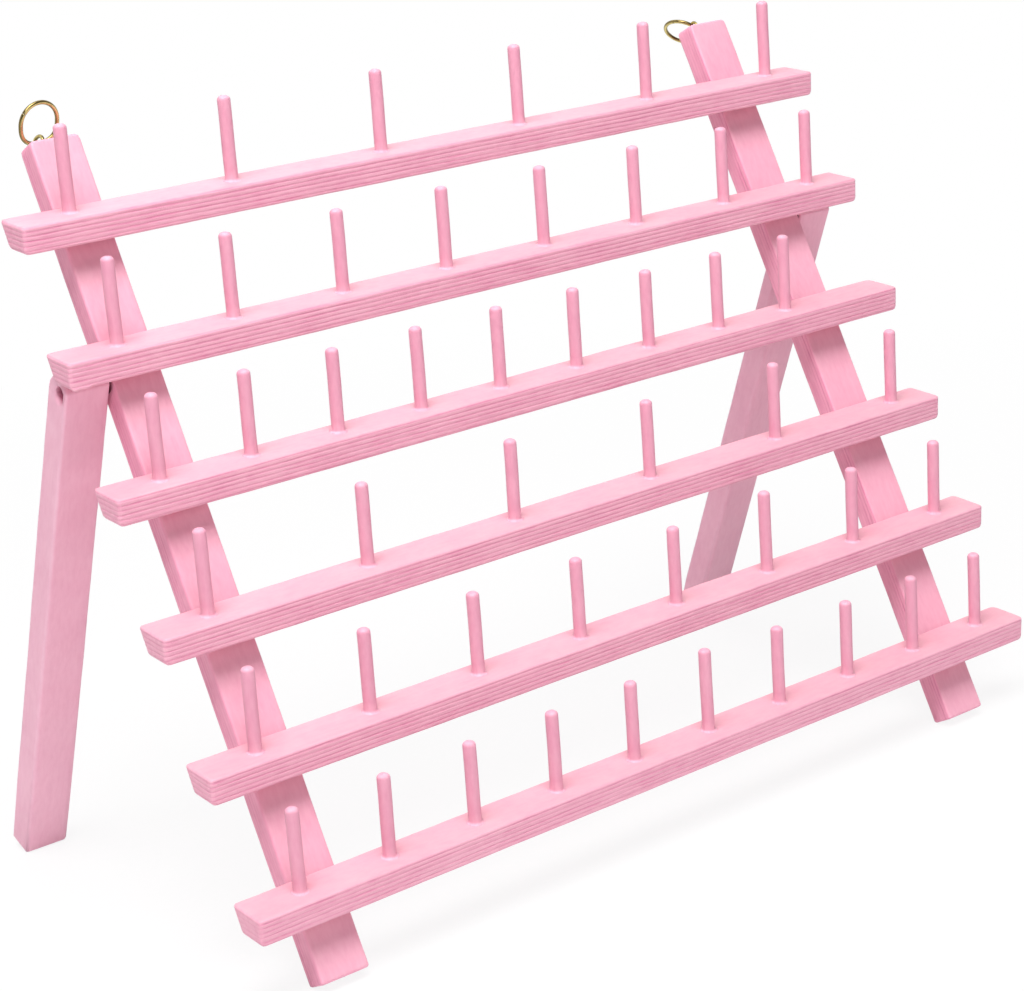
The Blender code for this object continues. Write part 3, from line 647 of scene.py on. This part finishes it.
def screw_skin():
    """A screw as one skin round its axis, from the middle of the head to the point.

    The head is a low dome less a cross, whose depth fades with the distance from either arm's middle line. Below it,
    the radius is the core's plus the thread's depth times the cube of a ridge, which rises from nought to one and
    falls again with each turn of the thread, and a taper brings both to the point.
    """
    turn = np.arange(screw_sides) * 2 * np.pi / screw_sides
    every = np.ones(screw_sides)
    rows = []
    for share in (0.004, 0.08, 0.16, 0.25, 0.34, 0.43, 0.52, 0.62, 0.72, 0.82, 0.91, 0.97, 1.0):
        radius = screw_head * share
        x, y = radius * np.cos(turn), radius * np.sin(turn)
        arm = np.minimum(np.abs(x), np.abs(y))
        slot = np.clip(1.35 - arm / slot_half, 0, 1) * np.clip((slot_reach - share) / slot_end, 0, 1)
        rows.append((radius * every, head_height - dome_drop * share ** 2.4 - slot_depth * slot))
    for radius, height in ((screw_head, head_rim), (screw_head * 0.97, 0), (screw_shank, 0), (screw_shank, plain_end)):
        rows.append((radius * every, height * every))
    for height in np.linspace(thread_start, thread_end, 70):
        taper = np.clip((height - thread_end + 0.0001) / thread_taper, 0.02, 1)
        ridge = np.abs(np.mod(height / thread_pitch - turn / (2 * np.pi), 1) - 0.5) * 2
        rows.append(((screw_core + (screw_shank - screw_core) * ridge ** 3) * taper, height * every))
    rows.append((screw_tip * every, screw_point * every))
    radius, height = np.array([r for r, z in rows]), np.array([z for r, z in rows])
    points = np.stack((radius * np.cos(turn), radius * np.sin(turn), height), -1)
    index = np.arange(points.shape[0] * screw_sides).reshape(points.shape[:2])
    return points.reshape(-1, 3), ring_quads(index[1:], index[:-1])


def washer_skin():
    """A flat ring with eased edges: a squared-off ellipse carried round the axis and joined to itself. Its width
    follows the cosine to the power 0.35 and its height the sine to the power 0.6, each with its own sign."""
    loop = np.radians(np.arange(0, 360, 15) + 7.5)
    wide, high = np.cos(loop), np.sin(loop)
    half_width = (washer_radius - washer_bore) / 2
    radius = washer_bore + half_width + half_width * np.sign(wide) * np.abs(wide) ** 0.35
    height = washer_half + washer_half * np.sign(high) * np.abs(high) ** 0.6
    points = turned(np.stack((radius, height), 1), washer_sides)[0]
    index = np.arange(len(points)).reshape(-1, washer_sides)
    return points, ring_quads(index, np.roll(index, -1, 0))


# Plated and polished metal: fine scratches, slight tarnish in patches and a softly uneven polish.
metal_group, g_in, g_out = group_with(
    "handled_metal",
    [("Place", "NodeSocketVector", None), ("Bright", "NodeSocketColor", (0.6, 0.6, 0.6, 1)),
     ("Dull", "NodeSocketColor", (0.4, 0.4, 0.4, 1)), ("Polish", "NodeSocketFloat", 0.2),
     ("Scratches", "NodeSocketFloat", 1500.0)],
    [("Colour", "NodeSocketColor"), ("Roughness", "NodeSocketFloat"), ("Height", "NodeSocketFloat")])
put, noise, ranged, combine = node_maker(metal_group)
patches = noise((g_in, "Place"), 260.0, 4.0, 0.6)
patches = ranged((patches, 0), 0.42, 0.72, 0.0, 1.0)
mixed = put("Mix", {0: (patches, 0), 6: (g_in, "Bright"), 7: (g_in, "Dull")}, data_type="RGBA")
scratch = noise((g_in, "Place"), (g_in, "Scratches"), 3.0, distortion=1.5)
rough = combine("MULTIPLY_ADD", (patches, 0), 0.14, (g_in, "Polish"))
feed(g_out, {"Colour": (mixed, 2), "Roughness": (rough, 0), "Height": (scratch, 0)})


def metal(name, bright, dull, polish, scratches, rims=None):
    """A metal finish from the handled metal group, on the piece's own strip coordinates. A rim colour darkens a wire's
    inner and outer sides as a painted dark reflection."""
    made, shader = new_material(name)
    put = node_maker(made.node_tree)[0]
    strip = put("Attribute", {}, attribute_name="strip")
    finish = put("Group", {
        "Place": (strip, "Vector"), "Bright": (*bright, 1), "Dull": (*dull, 1), "Polish": polish,
        "Scratches": scratches}, node_tree=metal_group)
    colour = (finish, "Colour")
    if rims:
        mask = put("Attribute", {}, attribute_name="edges")
        colour = (put("Mix", {0: (mask, "Fac"), 6: colour, 7: (*rims, 1)}, data_type="RGBA"), 2)
    bump = put("Bump", {"Strength": 0.03, "Distance": 0.0001, "Height": (finish, "Height")})
    feed(shader, {"Metallic": 1, "Base Color": colour, "Roughness": (finish, "Roughness"), "Normal": (bump, 0)})
    return made


# Plated metal darkened and tinted pink: painted shade for the screw heads down the counterbores and the washers in the
# gaps.
zinc_with_painted_shade = metal("zinc_darkened_as_painted_shade", (0.34, 0.150, 0.185), (0.22, 0.090, 0.115), 0.42, 2200.0)

for name, side in (("left", -1), ("right", 1)):
    stile_side = stile_middles[name + "_stile"] + side * stile_width / 2
    under_head = stile_side + side * (leg_room + counterbore_land + screw_gap)
    for kind, skin, start in (
            ("pivot_screw", screw_skin, under_head), ("washer", washer_skin, stile_side + side * screw_gap)):
        strip, quads = skin()
        points = pivot + (start, 0, 0) + np.stack((strip[:, 2] * side, strip[:, 0], strip[:, 1] * side), 1)
        none = np.zeros(len(strip))
        piece = make_piece(f"{name}_{kind}_turned", points, quads, strip, none, none, zinc_with_painted_shade)
        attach(piece, "frame")
        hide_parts(f"{name}_{kind}")

# ------------------------
# Screw eyes. A short screw of brass-plated wire bent to a nearly closed loop, driven slantwise into the
# upper back edge of each stile, so that only the loop and a little of the shank show.
# ------------------------
eye_wires, eye_loops = {"left": 0.0008, "right": 0.0007}, {"left": 0.00275, "right": 0.0023}
eye_stand, eye_shank = 0.0039, 0.0085
eye_lifts = {"left": 0.0005, "right": -0.0005}  # how far each loop's middle lies off the ring's axis
eye_turns = {"left": math.radians(28), "right": 0.0}  # how far each was screwed past square
eye_slant = math.radians(45)
eye_out = stile_up * math.cos(eye_slant) + stile_back * math.sin(eye_slant)
eye_shifts = {"left": 0.0, "right": 0.0035}
neck_gap, bend_start, bend_end = 0.0005, -82, 232  # from shank to loop, and the loop's ends in degrees
thread_rows, point_rows, wire_tip = 44, 8, 0.00001  # of the shank's sixty sections, and the radius at a wire's end
# The brass's last colour is a painted dark reflection along the wires' inner and outer sides.
brass = metal("polished_brass", (0.74, 0.62, 0.26), (0.50, 0.40, 0.15), 0.15, 1800.0, (0.105, 0.068, 0.018))


def wire_skin(path, across, radius, sides=14):
    """A wire carried along a flat path: each section is a circle square to the path, its radius times the cosine
    beside it and the sine across it. The strip's coordinates are the run along the wire and a place round it."""
    ahead = np.gradient(path, axis=0)
    ahead /= np.linalg.norm(ahead, axis=1, keepdims=True)
    beside = np.cross(ahead, across)
    turn = np.arange(sides) * 2 * np.pi / sides
    ring = (np.cos(turn)[None, :, None] * beside[:, None, :] + np.sin(turn)[None, :, None] * np.array(across))
    points = path[:, None, :] + ring * np.asarray(radius)[:, None, None]
    run = np.concatenate(([0], np.cumsum(np.linalg.norm(np.diff(path, axis=0), axis=1))))
    strip = np.stack(np.broadcast_arrays(run[:, None], np.cos(turn) * 0.001, np.sin(turn) * 0.001), -1)
    index = np.arange(points.shape[0] * sides).reshape(points.shape[:2])
    low, high = index[:-1], index[1:]
    quads = np.stack((low, high, np.roll(high, -1, 1), np.roll(low, -1, 1)), -1).reshape(-1, 4)
    return points.reshape(-1, 3), quads, strip.reshape(-1, 3)


def painted_dark_reflection(strip):
    """Where a bent wire is painted dark as a reflection: 0.85 of the way on its outer side and 0.75 on its inner side,
    each fading in with the cosine of the place round the wire."""
    outward = strip[:, 1] / 0.001
    return 0.85 * np.clip(outward - 0.30, 0, 0.5) / 0.5 + 0.75 * np.clip(-outward - 0.35, 0, 0.4) / 0.4


def eye_centre(name):
    """The middle of an eye's loop, out from the stile's upper back edge along the eye's slant."""
    edge = lowest_seat + (stile_middles[name + "_stile"] + eye_shifts[name], 0, 0) + stile_up * stile_top
    return edge + stile_back * (stile_gap + stile_thickness) + eye_out * eye_stand


for name in ("left", "right"):
    eye_wire, eye_loop, eye_turn = eye_wires[name], eye_loops[name], eye_turns[name]
    over = np.cross(eye_out, np.array((1, 0, 0)))
    aside = np.array((1, 0, 0)) * math.cos(eye_turn) + over * math.sin(eye_turn)
    over = np.cross(eye_out, aside)
    shank = np.linspace(-eye_stand - eye_shank, -eye_loop - neck_gap, 60)
    bend = np.radians(np.linspace(bend_start, bend_end, 60))
    loop = np.stack((eye_loop * np.cos(bend), eye_loop * np.sin(bend)), 1)
    flat = np.concatenate((np.stack((0 * shank, shank), 1), loop))
    path = eye_centre(name) + eye_out * eye_lifts[name] + flat[:, :1] * over + flat[:, 1:] * eye_out
    radius = np.full(len(flat), eye_wire)
    radius[:thread_rows] *= 0.84 + 0.16 * np.cos(np.arange(thread_rows) * 2.1)
    radius[:point_rows] *= np.linspace(0.1, 1, point_rows)
    radius[[0, -1]] = wire_tip
    radius[-2] *= 0.8
    points, quads, strip = wire_skin(path, aside, radius)
    # Painted dark reflection along the eye wire's sides.
    rims = painted_dark_reflection(strip)
    piece = make_piece(f"{name}_screw_eye_wire", points, quads, strip, rims, rims, brass)
    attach(piece, "frame")
    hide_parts(f"{name}_screw_eye")

# ------------------------
# Rings. Round brass-plated wire bent to a ring, with a fine butt joint where its ends meet.
# Each hangs loose in its screw eye and was photographed as it happened to lie.
# ------------------------
ring_wire, ring_radius, joint_gap = 0.00096, 0.00909, 0.00006
joint_mark = 0.0003  # how far the joint's darkness reaches along the wire
ring_tilts = {"left": math.radians(-40.8), "right": math.radians(83.6)}
ring_twists = {"left": math.radians(4.5), "right": math.radians(39)}
ring_squareness = {"left": 2.6, "right": 2.0}  # 2 is a true circle; the lower half alone departs from it
ring_joints = {"left": math.radians(145), "right": math.radians(200)}  # how far round each ring its joint lies

for name in ("left", "right"):
    lean = stile_lean + ring_tilts[name]
    upright = np.array((0, math.sin(lean), math.cos(lean)))
    facing = np.array((0, math.cos(lean), -math.sin(lean)))
    twist = ring_twists[name]
    sideways = np.array((1, 0, 0)) * math.cos(twist) + facing * math.sin(twist)
    across = np.cross(sideways, upright)
    first, last = joint_gap / ring_radius / 2, 2 * np.pi - joint_gap / ring_radius / 2
    bend = ring_joints[name] + np.concatenate((
        [first, first, first + 0.006, first + 0.02], np.linspace(first + 0.06, last - 0.06, 110),
        [last - 0.02, last - 0.006, last, last]))
    bend[[0, -1]] += (-1e-5, 1e-5)  # the closing tips stand just off the wire's ends
    square = ring_squareness[name]
    bulge = (np.abs(np.cos(bend)) ** square + np.abs(np.sin(bend)) ** square) ** (-1 / square)
    bulge = np.where(np.sin(bend) < 0, bulge, 1)[:, None]
    circle = bulge * (np.cos(bend)[:, None] * sideways + np.sin(bend)[:, None] * upright)
    path = eye_centre(name) + upright * ring_radius + circle * ring_radius
    radius = np.full(len(bend), ring_wire)
    radius[[0, -1]], radius[[1, -2]], radius[[2, -3]] = wire_tip, ring_wire * 0.88, ring_wire * 0.96
    points, quads, strip = wire_skin(path, across, radius, 18)
    from_joint = np.abs(strip[:, 0] - strip[-1, 0] * (strip[:, 0] > ring_radius))
    # Painted dark reflection along the ring's sides, and the butt joint's own darkness.
    rims = np.maximum(painted_dark_reflection(strip), 1 - np.clip(from_joint / joint_mark, 0, 1))
    piece = make_piece(f"{name}_ring_wire", points, quads, strip, rims, rims, brass)
    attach(piece, f"{name}_ring")
    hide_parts(f"{name}_ring")

# ------------------------
# Studio. A white floor and a white surround that meet unseen, a soft lamp high in front, one from the upper left,
# a weak one low in front on the left and a weak one behind. The camera stands where the photograph's did.
# ------------------------
floor_mesh = bpy.data.meshes.new("studio_floor")
floor_mesh.from_pydata([(-4, -4, 0), (4, -4, 0), (4, 4, 0), (-4, 4, 0)], [], [(0, 1, 2, 3)])
floor = bpy.data.objects.new("studio_floor", floor_mesh)
bpy.context.scene.collection.objects.link(floor)
paper, shader = new_material("white_paper")
put, noise, ranged, combine = node_maker(paper.node_tree)
place = put("TexCoord", {})
speck = noise((place, "Object"), 300.0, 2.0)
tone = ranged((speck, 0), 0.3, 0.7, 0.80, 0.83)
feed(shader, {"Base Color": (tone, 0), "Roughness": 0.9, "Specular IOR Level": 0.0})
glow = put("Emission", {"Color": (1, 1, 1, 1), "Strength": 1.0})
rays = put("LightPath", {})
seen = combine("MAXIMUM", (rays, "Is Camera Ray"), (rays, "Is Glossy Ray"))
seen = combine("MAXIMUM", (seen, 0), (rays, "Is Transmission Ray"))
away = put("VectorMath", {0: (place, "Object")}, operation="LENGTH")
away = ranged((away, "Value"), 0.25, 0.9, 0.88, 1.0)
seen = combine("MULTIPLY", (seen, 0), (away, 0))
blend = put("MixShader", {0: (seen, 0), 1: (shader, 0), 2: (glow, 0)})
feed(paper.node_tree.nodes["Material Output"], {"Surface": (blend, 0)})
floor_mesh.materials.append(paper)

world = bpy.data.worlds.new("studio_world")
bpy.context.scene.world = world
world.use_nodes = True
put, _, ranged, combine = node_maker(world.node_tree)
sky = feed(world.node_tree.nodes["Background"], {"Color": (1.0, 0.89, 0.94, 1), "Strength": 0.21})
white = put("Background", {"Color": (1, 1, 1, 1), "Strength": 1.0})
rays = put("LightPath", {})
seen = combine("MAXIMUM", (rays, "Is Camera Ray"), (rays, "Is Transmission Ray"))
direction = put("TexCoord", {})
parts = put("SeparateXYZ", {0: (direction, "Generated")})
behind = ranged((parts, 1), -0.5, 0.3, 0.0, 1.0, interpolation_type="SMOOTHSTEP")
mirrored = combine("MULTIPLY", (rays, "Is Glossy Ray"), (behind, 0))
seen = combine("MAXIMUM", (seen, 0), (mirrored, 0))
blend = put("MixShader", {0: (seen, 0), 1: (sky, 0), 2: (white, 0)})
feed(world.node_tree.nodes["World Output"], {"Surface": (blend, 0)})


def soft_lamp(name, place, aim, wide, power):
    """A square soft lamp at a place, turned to face a point."""
    light = bpy.data.lights.new(name, "AREA")
    light.shape = "SQUARE"
    light.size = wide
    light.energy = power
    lamp = bpy.data.objects.new(name, light)
    lamp.location = place
    lamp.rotation_mode = "QUATERNION"
    lamp.rotation_quaternion = (Vector(aim) - Vector(place)).to_track_quat("-Z", "Y")
    bpy.context.scene.collection.objects.link(lamp)


rack_middle = (0, 0, 0.17)
soft_lamp("high_lamp", (-0.28, -0.70, 2.44), rack_middle, 1.2, 42)
soft_lamp("left_lamp", (-0.779, -0.45, 1.729), rack_middle, 0.9, 20)
soft_lamp("front_lamp", (-0.66, -1.51, 0.902), rack_middle, 0.9, 4.6)
soft_lamp("back_lamp", (0.3, 0.9, 1.4), rack_middle, 0.8, 3.5)

# The camera, in front and to the left, a little above the rack, as fitted to the photograph.
camera_data = bpy.data.cameras.new("photograph_camera")
camera_data.sensor_width = 36
camera_data.lens = 89.12
camera_data.shift_y = -0.0488
camera = bpy.data.objects.new("photograph_camera", camera_data)
camera.location = (-0.68724, -0.903886, 0.502774)
right, up = (0.782248, -0.619424, -0.066349), (0.227388, 0.184747, 0.956119)
backward = (-0.579985, -0.763009, 0.285368)
camera.rotation_mode = "QUATERNION"
camera.rotation_quaternion = Matrix((right, up, backward)).transposed().to_quaternion()
bpy.context.scene.collection.objects.link(camera)
bpy.context.scene.camera = camera
bpy.context.scene.view_settings.view_transform = "Standard"
